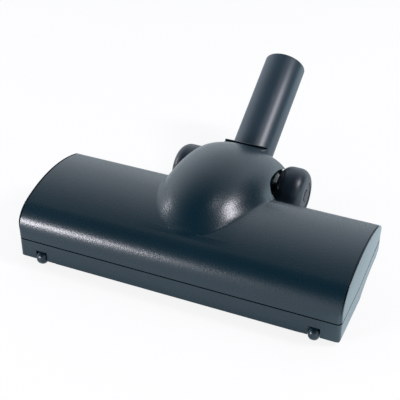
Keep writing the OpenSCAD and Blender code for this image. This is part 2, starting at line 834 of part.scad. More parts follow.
module turbine_shaft() color(steel_colour) placed()
    rod(turbine_shaft_r, -case_end - 5, belt_x + pulley_w / 2 + 0.5, turbine_y, turbine_z);

module ball_bearing(r_in, r_out, w) difference() {
    cylinder(r = r_out, h = w);
    translate([0, 0, -cut]) cylinder(r = r_in, h = w + 2 * cut);
    for (z = [-0.5, w - 0.5]) translate([0, 0, z]) difference() {
        cylinder(r = r_out - 1.2, h = 1);
        translate([0, 0, -cut]) cylinder(r = r_in + 1.2, h = 3);
    }
}

module turbine_bearing() translate([case_half, turbine_y, turbine_z]) rotate([0, 90, 0])
    ball_bearing(turbine_shaft_r + run, cup_r - 0.02, 4);

module turbine_bearing_right() color(steel_colour) placed() turbine_bearing();
module turbine_bearing_left() color(steel_colour) placed() mirror([1, 0, 0]) turbine_bearing();

duct_half = 18;
duct_low = seam_at(body_d) - 5;
duct_high = turbine_z + 1;
duct_out = [
    [turbine_y + 18, duct_low], [turbine_y + 18, duct_high], [turbine_y + 24, duct_high],
    [pivot_y, pivot_z + 15], [pivot_y, pivot_z - 13], [body_d + 2.5, duct_low]
];
duct_in = [
    [turbine_y + 14, duct_low + wall], [turbine_y + 14, duct_high - wall], [turbine_y + 24, duct_high - wall],
    [pivot_y, pivot_z + 12], [pivot_y, pivot_z - 10], [body_d + 2.5, duct_low + wall]
];
seal_r = drum_r + 2;

module turbine_case() difference() {
    union() {
        rod(case_out, -case_end, case_end, turbine_y, turbine_z);
        both_sides() rod(cup_r + 1.8, case_half, case_half + 4.6, turbine_y, turbine_z);
        block(-15.5, 15.5, partition_y + wall + 0.05, turbine_y - 8, 23, 38.5);
        block(-12, 12, turbine_y - 3, turbine_y + 3, base_floor(turbine_y + 3) + wall + 0.05, turbine_z - case_in - 1);
        along_x(-duct_half - 2, duct_half + 2) polygon(duct_out);
    }
    rod(case_in, -case_half, case_half, turbine_y, turbine_z);
    both_sides() {
        rod(cup_r, case_half, case_half + 4.2, turbine_y, turbine_z);
        rod(cup_r - 2, case_half, case_end + 6, turbine_y, turbine_z);
    }
    block(-13.5, 13.5, partition_y, turbine_y - 8, 25, 36.5);
    along_x(-duct_half, duct_half) polygon(duct_in);
    rod(seal_r, -half_w, half_w, pivot_y, pivot_z);
    block(-half_w, half_w, pivot_y - 14, 2 * pivot_y, -cut, 2 * crest_z);
}

// Space taken by the upper half of the case, over the duct and in front of it
module case_split(lift) {
    block(-half_w, half_w, 0, turbine_y + 16 - lift, turbine_z + lift, 3 * crest_z);
    block(-half_w, half_w, 0, pivot_y, duct_high + 4 + lift, 3 * crest_z);
}

module turbine_case_lower() color(inner_colour) placed() difference() {
    turbine_case();
    case_split(0);
}

module turbine_case_upper() color(inner_colour) placed() intersection() {
    turbine_case();
    case_split(0.05);
}

// Curved lip that seals the duct against the drum
module drum_seal() color(rubber_colour) placed() difference() {
    intersection() {
        rod(seal_r - 0.02, -duct_half - 2, duct_half + 2, pivot_y, pivot_z);
        block(-half_w, half_w, 0, pivot_y - 19.3, pivot_z - 13, pivot_z + 15);
    }
    rod(drum_r + gap, -half_w, half_w, pivot_y, pivot_z);
    block(-duct_half + 1, duct_half - 1, 0, pivot_y, pivot_z - 8.5, pivot_z + 8.5);
}

drum_wall = 2.5;
collar_end = 24;
collar_r = 22.4;
tube_start = 9;
ring_s = 13;

module neck_elbow() color(shell_colour) placed() difference() {
    union() {
        rod(drum_r, -drum_half, drum_half, pivot_y, pivot_z);
        both_sides() rod(trunnion_r, drum_half - 1, arm_mid - gap, pivot_y, pivot_z);
        on_neck() cylinder(r = collar_r, h = collar_end);
    }
    rod(drum_r - drum_wall, -drum_half + drum_wall, drum_half - drum_wall, pivot_y, pivot_z);
    both_sides() rod(trunnion_r - 2.5, drum_half + 1, arm_mid, pivot_y, pivot_z);
    on_neck() {
        translate([0, 0, tube_start - 2]) cylinder(r = neck_r + run, h = neck_len);
        translate([0, 0, ring_s - 0.2]) cylinder(r = neck_r + 1.4, h = 2.4);
        translate([0, 0, ring_s + 5]) cylinder(r = neck_r + 1, h = 1.8);
    }
    drum_window();
    both_sides() stop_groove();
}

// Groove in the drum's end face that holds the neck's travel between its stops
module stop_groove() {
    side = (stop_pin_r + gap) / stop_r * 180 / PI;
    first = 180 - neck_up - side;
    span = neck_up + neck_angle + 2 * side;
    along_x(drum_half - 1.4, drum_half + cut) translate([pivot_y, pivot_z]) intersection() {
        difference() {
            circle(stop_r + stop_pin_r + gap);
            circle(stop_r - stop_pin_r - gap);
        }
        polygon([[0, 0], for (i = [0:4]) 2 * stop_r * [cos(first + span * i / 4), sin(first + span * i / 4)]]);
    }
}

// Window towards the duct that stays open at every angle of the neck
module drum_window() along_x(-drum_half + drum_wall, drum_half - drum_wall)
    translate([pivot_y, pivot_z]) intersection() {
        circle(drum_r + 2);
        polygon([[0, 0], for (t = [118:20:238]) 2 * drum_r * [cos(t), sin(t)]]);
    }

module neck_tube() color(shell_colour) placed() on_neck() rotate_extrude($fn = 128) difference() {
    union() {
        translate([0, tube_start]) square([neck_r, neck_len - tube_start - rim_round]);
        translate([0, tube_start]) square([neck_r - rim_round, neck_len - tube_start]);
        translate([neck_r - rim_round, neck_len - rim_round]) circle(rim_round);
    }
    square([socket_r - 1, neck_len + cut]);
    translate([0, neck_len - socket_len]) square([socket_r, socket_len + cut]);
    polygon([
        [0, neck_len - 1], [socket_r, neck_len - 1], [socket_r + 1.2, neck_len + 0.2], [0, neck_len + 0.2]
    ]);
    translate([neck_r - 1, ring_s]) square([2, 2]);
}

module neck_ring() color(steel_colour) placed() on_neck() difference() {
    translate([0, 0, ring_s + 0.1]) cylinder(r = neck_r + 1.2, h = 1.8);
    cylinder(r = neck_r - 0.95, h = 2 * ring_s);
    translate([-2, -2 * neck_r, 0]) cube([4, 2 * neck_r, 2 * ring_s]);
}

module neck_seal() color(rubber_colour) placed() on_neck() rotate_extrude($fn = 96)
    translate([neck_r + gap, ring_s + 5.05]) square([1 - gap - 0.02, 1.7]);

module wheel_pin() {
    rod(pin_r, arm_mid + 0.1, wheel_in + wheel_w - 0.2, pivot_y, pivot_z);
    rod(pin_r + 2.4, wheel_in + wheel_w - 1.7, wheel_in + wheel_w - 0.2, pivot_y, pivot_z);
}

module wheel_pin_right() color(steel_colour) placed() wheel_pin();
module wheel_pin_left() color(steel_colour) placed() mirror([1, 0, 0]) wheel_pin();

hub_r = 12.5;

module wheel_hub() translate([0, pivot_y, pivot_z]) turned(wheel_in) difference() {
    union() {
        translate([pin_r + run, 0.2]) square([hub_r - pin_r - run, wheel_w - 0.7]);
        translate([pin_r + run, -3.7]) square([3, 4]);
    }
    translate([0, wheel_w - 2]) square([pin_r + 3, 2 + cut]);
    translate([pin_r + 2.5, -cut]) square([hub_r - pin_r - 4.5, 9]);
}

module wheel_hub_right() color(inner_colour) placed() wheel_hub();
module wheel_hub_left() color(inner_colour) placed() mirror([1, 0, 0]) wheel_hub();

// Tyre with wide rounded shoulders
module wheel_tyre() translate([0, pivot_y, pivot_z]) turned(wheel_in) difference() {
    union() {
        translate([hub_r, 0]) square([wheel_r - shoulder_r - hub_r, wheel_w]);
        translate([hub_r, shoulder_r]) square([wheel_r - hub_r, wheel_w - 2 * shoulder_r]);
        intersection() {
            translate([hub_r, 0]) square([wheel_r, wheel_w]);
            for (x = [shoulder_r, wheel_w - shoulder_r]) translate([wheel_r - shoulder_r, x]) circle(shoulder_r);
        }
    }
}

module wheel_tyre_right() color(rubber_colour) placed() wheel_tyre();
module wheel_tyre_left() color(rubber_colour) placed() mirror([1, 0, 0]) wheel_tyre();

top_cover();
base_housing();
sole_plate();
lint_strips();
lock_left();
lock_right();
cover_screws();
front_roller_left();
front_roller_right();
roller_pin_left();
roller_pin_right();
brush_core_left();
brush_core_right();
bristle_strips();
brush_shaft();
brush_pulley();
brush_bearing_left();
brush_bearing_right();
drive_belt();
drive_pulley();
turbine_wheel();
turbine_shaft();
turbine_bearing_left();
turbine_bearing_right();
turbine_case_lower();
turbine_case_upper();
drum_seal();
neck_elbow();
neck_tube();
neck_ring();
neck_seal();
wheel_pin_left();
wheel_pin_right();
wheel_hub_left();
wheel_hub_right();
wheel_tyre_left();
wheel_tyre_right();
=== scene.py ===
import json
import math
import bmesh
import bpy
from mathutils import Matrix, Vector

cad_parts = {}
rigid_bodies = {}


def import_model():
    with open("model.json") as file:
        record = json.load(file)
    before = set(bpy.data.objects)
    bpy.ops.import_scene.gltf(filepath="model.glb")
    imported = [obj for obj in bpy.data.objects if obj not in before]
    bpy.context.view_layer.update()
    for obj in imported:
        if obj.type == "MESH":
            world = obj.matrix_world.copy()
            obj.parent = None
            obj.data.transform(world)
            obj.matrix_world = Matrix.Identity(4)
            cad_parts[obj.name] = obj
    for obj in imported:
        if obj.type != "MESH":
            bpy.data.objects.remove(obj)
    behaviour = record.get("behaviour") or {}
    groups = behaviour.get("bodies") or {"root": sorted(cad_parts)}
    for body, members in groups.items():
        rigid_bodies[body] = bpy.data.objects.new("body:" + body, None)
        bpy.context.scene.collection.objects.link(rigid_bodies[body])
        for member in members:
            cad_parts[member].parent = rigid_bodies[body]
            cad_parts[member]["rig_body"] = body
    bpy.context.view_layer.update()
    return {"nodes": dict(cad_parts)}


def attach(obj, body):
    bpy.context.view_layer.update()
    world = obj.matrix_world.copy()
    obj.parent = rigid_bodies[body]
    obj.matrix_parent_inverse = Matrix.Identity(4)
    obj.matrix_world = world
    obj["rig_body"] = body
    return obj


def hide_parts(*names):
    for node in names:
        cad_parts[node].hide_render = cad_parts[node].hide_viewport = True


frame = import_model()
nodes = frame["nodes"]

# sizes in this script are in millimetres, measured back from the front face and up from the floor
originY = 138.6507
pivot = Vector((0.0, 157.0, 24.0))
neckAngle = 30.5


def toFrame(bm):
    bmesh.ops.translate(bm, verts=bm.verts, vec=(0.0, -originY, 0.0))
    bmesh.ops.scale(bm, verts=bm.verts, vec=(0.001, 0.001, 0.001))


def addPiece(name, bm, material, body, replaced=(), sharpAngle=32.0, inFrame=False):
    if not inFrame:
        toFrame(bm)
    for edge in bm.edges:
        edge.smooth = not edge.seam and edge.calc_face_angle(0.0) < math.radians(sharpAngle)
    for face in bm.faces:
        face.smooth = True
    mesh = bpy.data.meshes.new(name)
    bm.to_mesh(mesh)
    bm.free()
    if "custom_normal" in mesh.attributes:
        mesh.attributes.remove(mesh.attributes["custom_normal"])
    piece = bpy.data.objects.new(name, mesh)
    bpy.context.scene.collection.objects.link(piece)
    mesh.materials.append(material)
    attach(piece, body)
    if replaced:
        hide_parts(*replaced)
    return piece


def bakeModifiers(piece):
    bpy.context.view_layer.update()
    evaluated = piece.evaluated_get(bpy.context.evaluated_depsgraph_get())
    finished = bpy.data.meshes.new_from_object(evaluated)
    piece.modifiers.clear()
    piece.data = finished


# materials

def linearColour(hexCode):
    channels = [int(hexCode[i:i + 2], 16) / 255 for i in (1, 3, 5)]
    return tuple(c / 12.92 if c <= 0.04045 else ((c + 0.055) / 1.055) ** 2.4 for c in channels) + (1.0,)


def addNode(material, kind, inputs=None, **settings):
    node = material.node_tree.nodes.new(kind)
    for key, value in settings.items():
        setattr(node, key, value)
    for key, value in (inputs or {}).items():
        if isinstance(value, bpy.types.NodeSocket):
            material.node_tree.links.new(value, node.inputs[key])
        else:
            node.inputs[key].default_value = value
    return node


def newMaterial(name, surface):
    material = bpy.data.materials.new(name)
    material.use_nodes = True
    shader = material.node_tree.nodes["Principled BSDF"]
    for key, value in surface.items():
        shader.inputs[key].default_value = value
    return material, shader


def linkTo(material, shader, key, socket):
    material.node_tree.links.new(socket, shader.inputs[key])


# moulded ABS has a faint orange-peel grain from the spark-eroded tool and a soft sheen
def makeMouldedAbs(name, look):
    material, shader = newMaterial(name, {"IOR": 1.54, "Specular IOR Level": look["specular"]})
    place = addNode(material, "ShaderNodeTexCoord")
    cloud = addNode(material, "ShaderNodeTexNoise", {"Vector": place.outputs["Object"], "Scale": 28.0, "Detail": 3.0})
    tint = addNode(material, "ShaderNodeMix", {"Factor": cloud.outputs["Fac"]}, data_type="RGBA")
    tint.inputs[6].default_value = linearColour(look["dark"])
    tint.inputs[7].default_value = linearColour(look["light"])
    linkTo(material, shader, "Base Color", tint.outputs[2])
    # grain of about 0.5 mm, drawn a little coarser than the real one so that it shows
    grain = addNode(material, "ShaderNodeTexNoise", {
        "Vector": place.outputs["Object"], "Scale": look["grain"], "Detail": 2.0, "Roughness": 0.6})
    gloss = addNode(material, "ShaderNodeMapRange", {
        "Value": grain.outputs["Fac"], "To Min": look["rough"] - 0.04, "To Max": look["rough"] + 0.05})
    linkTo(material, shader, "Roughness", gloss.outputs["Result"])
    bump = addNode(material, "ShaderNodeBump", {
        "Height": grain.outputs["Fac"], "Strength": look["bump"], "Distance": 0.0001})
    linkTo(material, shader, "Normal", bump.outputs["Normal"])
    return material


shellAbs = makeMouldedAbs("satinAbs", {
    "dark": "#02202a", "light": "#062632", "specular": 0.55, "rough": 0.28, "grain": 620.0, "bump": 0.9})
tubeAbs = makeMouldedAbs("tubeAbs", {
    "dark": "#22343f", "light": "#293b47", "specular": 0.55, "rough": 0.36, "grain": 1900.0, "bump": 0.2})
innerAbs = makeMouldedAbs("innerAbs", {
    "dark": "#15181b", "light": "#1d2125", "specular": 0.5, "rough": 0.42, "grain": 1500.0, "bump": 0.3})


# clear-grey polypropylene of the turbine: waxy, a little translucent
def makeTurbinePlastic():
    material, shader = newMaterial("waxyPolypropylene", {
        "Roughness": 0.38, "IOR": 1.49, "Subsurface Weight": 0.15, "Subsurface Scale": 0.002})
    place = addNode(material, "ShaderNodeTexCoord")
    cloud = addNode(material, "ShaderNodeTexNoise", {"Vector": place.outputs["Object"], "Scale": 60.0, "Detail": 2.0})
    tint = addNode(material, "ShaderNodeMix", {"Factor": cloud.outputs["Fac"]}, data_type="RGBA")
    tint.inputs[6].default_value = linearColour("#b9bcc0")
    tint.inputs[7].default_value = linearColour("#c8cbce")
    linkTo(material, shader, "Base Color", tint.outputs[2])
    return material


turbinePlastic = makeTurbinePlastic()


# turned metal: fine rings along the turning axis spread the highlight
def makeTurnedMetal(name, look):
    material, shader = newMaterial(name, {"Metallic": 1.0})
    place = addNode(material, "ShaderNodeTexCoord")
    rings = addNode(material, "ShaderNodeTexWave", {
        "Vector": place.outputs["Object"], "Scale": 900.0, "Distortion": 1.5, "Detail": 1.0}, bands_direction="X")
    tint = addNode(material, "ShaderNodeMix", {"Factor": rings.outputs["Fac"]}, data_type="RGBA")
    tint.inputs[6].default_value = linearColour(look["dark"])
    tint.inputs[7].default_value = linearColour(look["light"])
    linkTo(material, shader, "Base Color", tint.outputs[2])
    gloss = addNode(material, "ShaderNodeMapRange", {
        "Value": rings.outputs["Fac"], "To Min": look["rough"] - 0.05, "To Max": look["rough"] + 0.06})
    linkTo(material, shader, "Roughness", gloss.outputs["Result"])
    bump = addNode(material, "ShaderNodeBump", {"Height": rings.outputs["Fac"], "Strength": 0.15, "Distance": 0.00003})
    linkTo(material, shader, "Normal", bump.outputs["Normal"])
    return material


turnedSteel = makeTurnedMetal("turnedSteel", {"dark": "#8f9296", "light": "#b4b7ba", "rough": 0.3})
blackenedSteel = makeTurnedMetal("blackenedSteel", {"dark": "#26292d", "light": "#33373c", "rough": 0.36})
turnedBrass = makeTurnedMetal("turnedBrass", {"dark": "#a8863e", "light": "#c8a65a", "rough": 0.32})


# soft rubber: dull, slightly dusty, with a fine moulded skin
def makeRubber(name, look):
    material, shader = newMaterial(name, {"IOR": 1.5, "Specular IOR Level": look["specular"]})
    place = addNode(material, "ShaderNodeTexCoord")
    cloud = addNode(material, "ShaderNodeTexNoise", {"Vector": place.outputs["Object"], "Scale": 45.0, "Detail": 4.0})
    tint = addNode(material, "ShaderNodeMix", {"Factor": cloud.outputs["Fac"]}, data_type="RGBA")
    tint.inputs[6].default_value = linearColour(look["dark"])
    tint.inputs[7].default_value = linearColour(look["light"])
    linkTo(material, shader, "Base Color", tint.outputs[2])
    skin = addNode(material, "ShaderNodeTexNoise", {"Vector": place.outputs["Object"], "Scale": 1400.0, "Detail": 2.0})
    gloss = addNode(material, "ShaderNodeMapRange", {
        "Value": skin.outputs["Fac"], "To Min": look["rough"] - 0.05, "To Max": look["rough"] + 0.06})
    linkTo(material, shader, "Roughness", gloss.outputs["Result"])
    bump = addNode(material, "ShaderNodeBump", {"Height": skin.outputs["Fac"], "Strength": 0.3, "Distance": 0.00006})
    linkTo(material, shader, "Normal", bump.outputs["Normal"])
    return material


tyreRubber = makeRubber("tyreRubber", {"dark": "#15212c", "light": "#1c2a36", "specular": 0.55, "rough": 0.38})
beltRubber = makeRubber("beltRubber", {"dark": "#111112", "light": "#191a1b", "specular": 0.4, "rough": 0.6})


# nylon filament: glossy along its length, with darker and lighter specks
def makeBristleNylon():
    material, shader = newMaterial("bristleNylon", {"Roughness": 0.36, "IOR": 1.53})
    place = addNode(material, "ShaderNodeTexCoord")
    speck = addNode(material, "ShaderNodeTexNoise", {"Vector": place.outputs["Object"], "Scale": 700.0, "Detail": 1.0})
    tint = addNode(material, "ShaderNodeMix", {"Factor": speck.outputs["Fac"]}, data_type="RGBA")
    tint.inputs[6].default_value = linearColour("#0c0d0f")
    tint.inputs[7].default_value = linearColour("#2c2e31")
    linkTo(material, shader, "Base Color", tint.outputs[2])
    return material


bristleNylon = makeBristleNylon()


# short wool pile of the lint strips
def makeFelt():
    material, shader = newMaterial("woolFelt", {"Roughness": 0.9, "Sheen Weight": 0.4, "Sheen Roughness": 0.5})
    place = addNode(material, "ShaderNodeTexCoord")
    fibre = addNode(material, "ShaderNodeTexNoise", {
        "Vector": place.outputs["Object"], "Scale": 1100.0, "Detail": 5.0, "Roughness": 0.7, "Distortion": 0.8})
    tint = addNode(material, "ShaderNodeMix", {"Factor": fibre.outputs["Fac"]}, data_type="RGBA")
    tint.inputs[6].default_value = linearColour("#2a2b2e")
    tint.inputs[7].default_value = linearColour("#55575b")
    linkTo(material, shader, "Base Color", tint.outputs[2])
    bump = addNode(material, "ShaderNodeBump", {"Height": fibre.outputs["Fac"], "Strength": 0.8, "Distance": 0.0003})
    linkTo(material, shader, "Normal", bump.outputs["Normal"])
    return material


woolFelt = makeFelt()
print("materials ready")

# body of the top cover

cover = {
    "halfWidth": 145.0, "depth": 113.5, "wall": 2.5,
    "seamFront": 22.5, "seamRear": 31.5, "seamBend": 50.0,
    "nose": (25.0, 27.34, 25.0), "crown": (57.5, -70.4, 128.0), "tail": (97.5, 34.21, 16.0),
    "endRound": 0.35, "cornerRound": 3.8, "groove": (1.6, 0.5), "grooveDepth": 1.3,
}
hood = {
    "width": 100.0, "height": 44.9, "baseline": 36.8, "widest": 98.5, "nose": 80.0, "fall": 73.0,
    "end": 157.0, "fillet": 7.0, "tuck": 0.015, "rows": 74, "columns": 88,
}


def arcAngles():
    (ny, nz, _), (cy, cz, _), (ty, tz, _) = cover["nose"], cover["crown"], cover["tail"]
    return math.atan2(nz - cz, ny - cy), math.atan2(tz - cz, ty - cy)


def outlinePoints(inset, extraBottom=0.0):
    noseTurn, tailTurn = arcAngles()
    runs = [("nose", math.pi, noseTurn, 26), ("crown", noseTurn, tailTurn, 44), ("tail", tailTurn, 0.0, 22)]
    points = [(0.0, cover["seamFront"] - extraBottom, -1.0, 0.0)]
    for key, start, stop, steps in runs:
        cy, cz, r = cover[key]
        for k in range(steps + (key == "tail")):
            a = start + (stop - start) * k / steps
            points.append((cy + r * math.cos(a), cz + r * math.sin(a), math.cos(a), math.sin(a)))
    points.append((cover["depth"], cover["seamRear"] - extraBottom, 1.0, 0.0))
    return [(y - ny * inset, z - nz * inset, ny, nz) for y, z, ny, nz in points]


def bodyTop(y):
    (ny, nz, nr), (cy, cz, cr), (ty, tz, tr) = cover["nose"], cover["crown"], cover["tail"]
    if y < ny:
        return nz + math.sqrt(max(0.0, nr ** 2 - (y - ny) ** 2))
    if y > ty:
        return tz + math.sqrt(max(0.0, tr ** 2 - (y - ty) ** 2))
    return cz + math.sqrt(cr ** 2 - (y - cy) ** 2)


def hoodShares(y):
    if y < hood["widest"]:
        share = math.sqrt(max(0.0, 1 - ((hood["widest"] - y) / hood["nose"]) ** 2))
        return hood["width"] / 2 * share, hood["height"] * share
    back = (y - hood["widest"]) / (hood["end"] - hood["widest"])
    fall = math.sqrt(max(0.0, 1 - ((y - hood["widest"]) / hood["fall"]) ** 2))
    return hood["width"] / 2 * (1 - 0.06 * back ** 2), hood["height"] * fall


def blendHeights(p, q, k):
    return max(p, q) + max(0.0, k - abs(p - q)) ** 2 / (4 * k)


# an edge loop drawn through points, then pulled from section to section
def pullSections(bm, sections):
    ring = [bm.verts.new(p) for p in sections[0]]
    edges = [bm.edges.new((ring[i], ring[(i + 1) % len(ring)])) for i in range(len(ring))]
    bm.faces.new(ring)
    for section in sections[1:]:
        pulled = bmesh.ops.extrude_edge_only(bm, edges=edges)["geom"]
        fresh = {v for v in pulled if isinstance(v, bmesh.types.BMVert)}
        nextRing = []
        for v in ring:
            nextRing.append(next(e.other_vert(v) for e in v.link_edges if e.other_vert(v) in fresh))
        for v, p in zip(nextRing, section):
            v.co = p
        ring = nextRing
        edges = [e for e in pulled if isinstance(e, bmesh.types.BMEdge)]
    bm.faces.new(ring)
    bmesh.ops.remove_doubles(bm, verts=bm.verts, dist=0.0004)
    bmesh.ops.dissolve_degenerate(bm, edges=bm.edges, dist=0.0004)
    bmesh.ops.recalc_face_normals(bm, faces=bm.faces)


def endRadius(nz):
    lift = min(1.0, max(0.0, nz / 0.55))
    return cover["cornerRound"] + (cover["endRound"] - cover["cornerRound"]) * lift * lift * (3 - 2 * lift)


def roundInset(back, r):
    return r - math.sqrt(r ** 2 - (r - back) ** 2) if back < r else 0.0


# rings from the middle out to the end face, with the groove that sets the end apart
def coverSections():
    outline = outlinePoints(0.0)
    half = cover["halfWidth"]

    def section(back, least=0.0):
        ring = []
        for y, z, ny, nz in outline:
            push = max(least, roundInset(back, endRadius(nz)))
            ring.append((half - back, y - ny * push, z - nz * push))
        return ring + [(half - back, cover["seamBend"], cover["seamFront"])]

    first, last = cover["groove"]
    deep = cover["grooveDepth"]
    rings = [section(back) for back in (145.0, 100.0, 55.0, 12.0, 3.8, 3.3, 2.7, 2.1, first + 0.12)]
    rings += [section(first, 0.1), section(first, deep), section(last, deep), section(last, 0.08)]
    rings += [section(back) for back in (last - 0.08, 0.35, 0.2, 0.09, 0.03, 0.0)]
    mirrored = [[(-x, y, z) for x, y, z in ring] for ring in rings[:0:-1]]
    return mirrored + rings


def hoodSections():
    k = hood["fillet"]
    start = next(y for y in (18.0 + 0.02 * i for i in range(400))
                 if hood["baseline"] + hoodShares(y)[1] > bodyTop(y) - 0.97 * k)
    turn = math.acos((hood["widest"] - start) / hood["nose"])
    front = int(hood["rows"] * 0.62)
    depths = [hood["widest"] - hood["nose"] * math.cos(turn + (math.pi / 2 - turn) * i / front) for i in range(front)]
    back = hood["rows"] - front
    depths += [hood["widest"] + (hood["end"] - hood["widest"]) * i / back for i in range(back + 1)]
    sections = []
    for y in depths:
        a, b = hoodShares(y)
        low = max(bodyTop(y) - hood["tuck"], hood["baseline"] - 1)
        foot = (low - k - hood["baseline"]) / b
        reach = a * (math.sqrt(max(0.0, 1 - foot ** 2)) if foot > 0 else 0.9999)
        ring = []
        for i in range(hood["columns"] + 1):
            x = reach * math.sin(math.pi * (0.5 - i / hood["columns"]))
            top = hood["baseline"] + b * math.sqrt(max(0.0, 1 - (x / a) ** 2))
            ring.append((x, y, blendHeights(top, low, k)))
        drop = hood["baseline"] - 3
        sections.append(ring + [(-reach, y, drop), (reach, y, drop)])
    return sections


def hoodHollow():
    wall = cover["wall"]
    first = hood["widest"] - hood["nose"] + 2 * wall
    sections = []
    for j in range(31):
        y = first + (hood["end"] + 1 - first) * j / 30
        a, b = hoodShares(min(y, hood["end"]))
        ring = [((a - wall) * math.cos(math.pi * i / 48), y, hood["baseline"] + (b - wall) * math.sin(math.pi * i / 48))
                for i in range(49)]
        sections.append(ring + [(-(a - wall), y, hood["baseline"] - 7.5), (a - wall, y, hood["baseline"] - 7.5)])
    return sections


def coverHollow():
    wall = cover["wall"]
    ring = [(y, z) for y, z, _, _ in outlinePoints(wall, extraBottom=14.0)]
    return [[(x, y, z) for y, z in ring] for x in (-cover["halfWidth"] + wall, cover["halfWidth"] - wall)]


archProfile = [(106.5, -5.0), (106.5, 48.6), (109.0, 55.1), (112.5, 58.4), (117.5, 59.8), (124.5, 59.7),
               (139.0, 56.8), (151.0, 51.6), (160.0, 45.5), (172.0, 42.0), (172.0, -5.0)]


def cutCorners(points):
    smoother = [points[0]]
    for (y0, z0), (y1, z1) in zip(points, points[1:]):
        smoother += [(0.75 * y0 + 0.25 * y1, 0.75 * z0 + 0.25 * z1), (0.25 * y0 + 0.75 * y1, 0.25 * z0 + 0.75 * z1)]
    return smoother + [points[-1]]


def archBlock(halfWidth, front, roundness):
    bm = bmesh.new()
    ring = [(max(y, front), z) for y, z in cutCorners(cutCorners(archProfile))]
    pullSections(bm, [[(x, y, z) for y, z in ring] for x in (-halfWidth, halfWidth)])
    if roundness:
        uprights = [e for e in bm.edges if all(v.co.y < front + 0.01 for v in e.verts)
                    and abs(e.verts[0].co.x - e.verts[1].co.x) < 0.01]
        bmesh.ops.bevel(bm, geom=uprights, offset=roundness, segments=8, profile=0.5, affect="EDGES", material=-1)
    return bm


def looseObject(name, bm):
    mesh = bpy.data.meshes.new(name)
    bm.to_mesh(mesh)
    bm.free()
    loose = bpy.data.objects.new(name, mesh)
    bpy.context.scene.collection.objects.link(loose)
    return loose


def combine(piece, steps):
    for operation, other in steps:
        change = piece.modifiers.new("combine", "BOOLEAN")
        change.operation = operation
        change.solver = "EXACT"
        change.object = other
        bakeModifiers(piece)
        bpy.data.objects.remove(other)


def solidOf(name, sections):
    bm = bmesh.new()
    pullSections(bm, sections)
    return looseObject(name, bm)


lip = {"halfWidth": 20.8, "start": 144.0, "end": 168.5, "edge": 59.2, "rim": 1.2, "corner": 1.1, "taper": 0.8}


def lipBar():
    start, end, edge = lip["start"], lip["end"], lip["edge"]
    front = end - lip["rim"]
    ring = [(start, edge + 7.4), (hood["end"] - 2, edge + 5), (front, edge - 1.6), (front, edge), (end, edge),
            (end, edge - 3), (hood["end"], edge + 1.2), (start, edge + 4)]
    bm = bmesh.new()
    half = lip["halfWidth"]
    pullSections(bm, [[(x, y, z) for y, z in ring] for x in (-half, half)])
    for vert in bm.verts:
        if vert.co.y < front - 0.01:
            vert.co.x *= lip["taper"]
    corners = [e for e in bm.edges if all(v.co.y > end - 0.01 for v in e.verts)
               and abs(e.verts[0].co.x - e.verts[1].co.x) < 0.01]
    bmesh.ops.bevel(bm, geom=corners, offset=lip["corner"], segments=6, profile=0.5, affect="EDGES", material=-1)
    rims = [e for e in bm.edges if all(v.co.y > front - 0.01 and v.co.z > edge - 0.01 for v in e.verts)
            and e.calc_face_angle() > 0.7]
    bmesh.ops.bevel(bm, geom=rims, offset=0.25, segments=2, profile=0.5, affect="EDGES", material=-1)
    return bm


def buildCover():
    shell = solidOf("coverSolid", coverSections())
    combine(shell, [
        ("UNION", solidOf("hoodSolid", hoodSections())),
        ("DIFFERENCE", solidOf("coverHollow", coverHollow())),
        ("DIFFERENCE", solidOf("hoodHollow", hoodHollow())),
        ("DIFFERENCE", looseObject("archFront", archBlock(50.0, 107.5, 8.0))),
        ("DIFFERENCE", looseObject("archRear", archBlock(59.0, 113.52, 0.0))),
        ("UNION", looseObject("lipSolid", lipBar())),
    ])
    bm = bmesh.new()
    bm.from_mesh(shell.data)
    bpy.data.objects.remove(shell)
    bmesh.ops.remove_doubles(bm, verts=bm.verts, dist=0.002)
    # the lip's plate meets the dome in a crisp line
    plate = Vector((0.0, 6.6, 12.3)).normalized()
    for edge in bm.edges:
        onPlate = [face.normal.dot(plate) > 0.9999 and face.calc_center_median().y > lip["start"]
                   for face in edge.link_faces]
        edge.seam = any(onPlate) and not all(onPlate)
    return addPiece("coverSkin", bm, shellAbs, "housing", replaced=("top_cover",), sharpAngle=28.0)


ribs = {"places": (21.75, 52.2, 85.55, 111.65, 136.3), "thick": 1.6, "outer": 2.0, "inner": 4.5,
        "brush": (30.0, 25.0, 25.2), "hood": 55.0}


# stiffening ribs that show above the brush when the sole is looked into
def buildRibs():
    by, bz, clear = ribs["brush"]
    outer = [(y, z) for y, z, _, _ in outlinePoints(ribs["outer"], extraBottom=-0.4)]
    inner = []
    for y, z, _, _ in outlinePoints(ribs["inner"], extraBottom=-0.4):
        reach = math.hypot(y - by, z - bz)
        grow = max(1.0, clear / reach)
        inner.append((by + (y - by) * grow, bz + (z - bz) * grow))
    bm = bmesh.new()
    for place in ribs["places"]:
        if place < ribs["hood"]:
            continue
        for side in (-1, 1):
            ring = outer + list(reversed(inner))
            rib = bmesh.new()
            x = place * side
            half = ribs["thick"] / 2
            pullSections(rib, [[(x - half, y, z) for y, z in ring], [(x + half, y, z) for y, z in ring]])
            part = bpy.data.meshes.new("rib")
            rib.to_mesh(part)
            rib.free()
            bm.from_mesh(part)
            bpy.data.meshes.remove(part)
    addPiece("coverRibs", bm, shellAbs, "housing")


buildCover()
buildRibs()
print("cover built")

# every other CAD node that shows: its own mesh, merged and smoothed


def smoothCopy(node, material, sharpAngle=30.0):
    source = nodes[node]
    bm = bmesh.new()
    bm.from_mesh(source.data)
    bmesh.ops.remove_doubles(bm, verts=bm.verts, dist=0.000002)
    bmesh.ops.dissolve_degenerate(bm, dist=0.00001, edges=bm.edges)
    body = source["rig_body"]
    return addPiece(node.replace("_", "") + "Skin", bm, material, body, replaced=(node,),
                    sharpAngle=sharpAngle, inFrame=True)


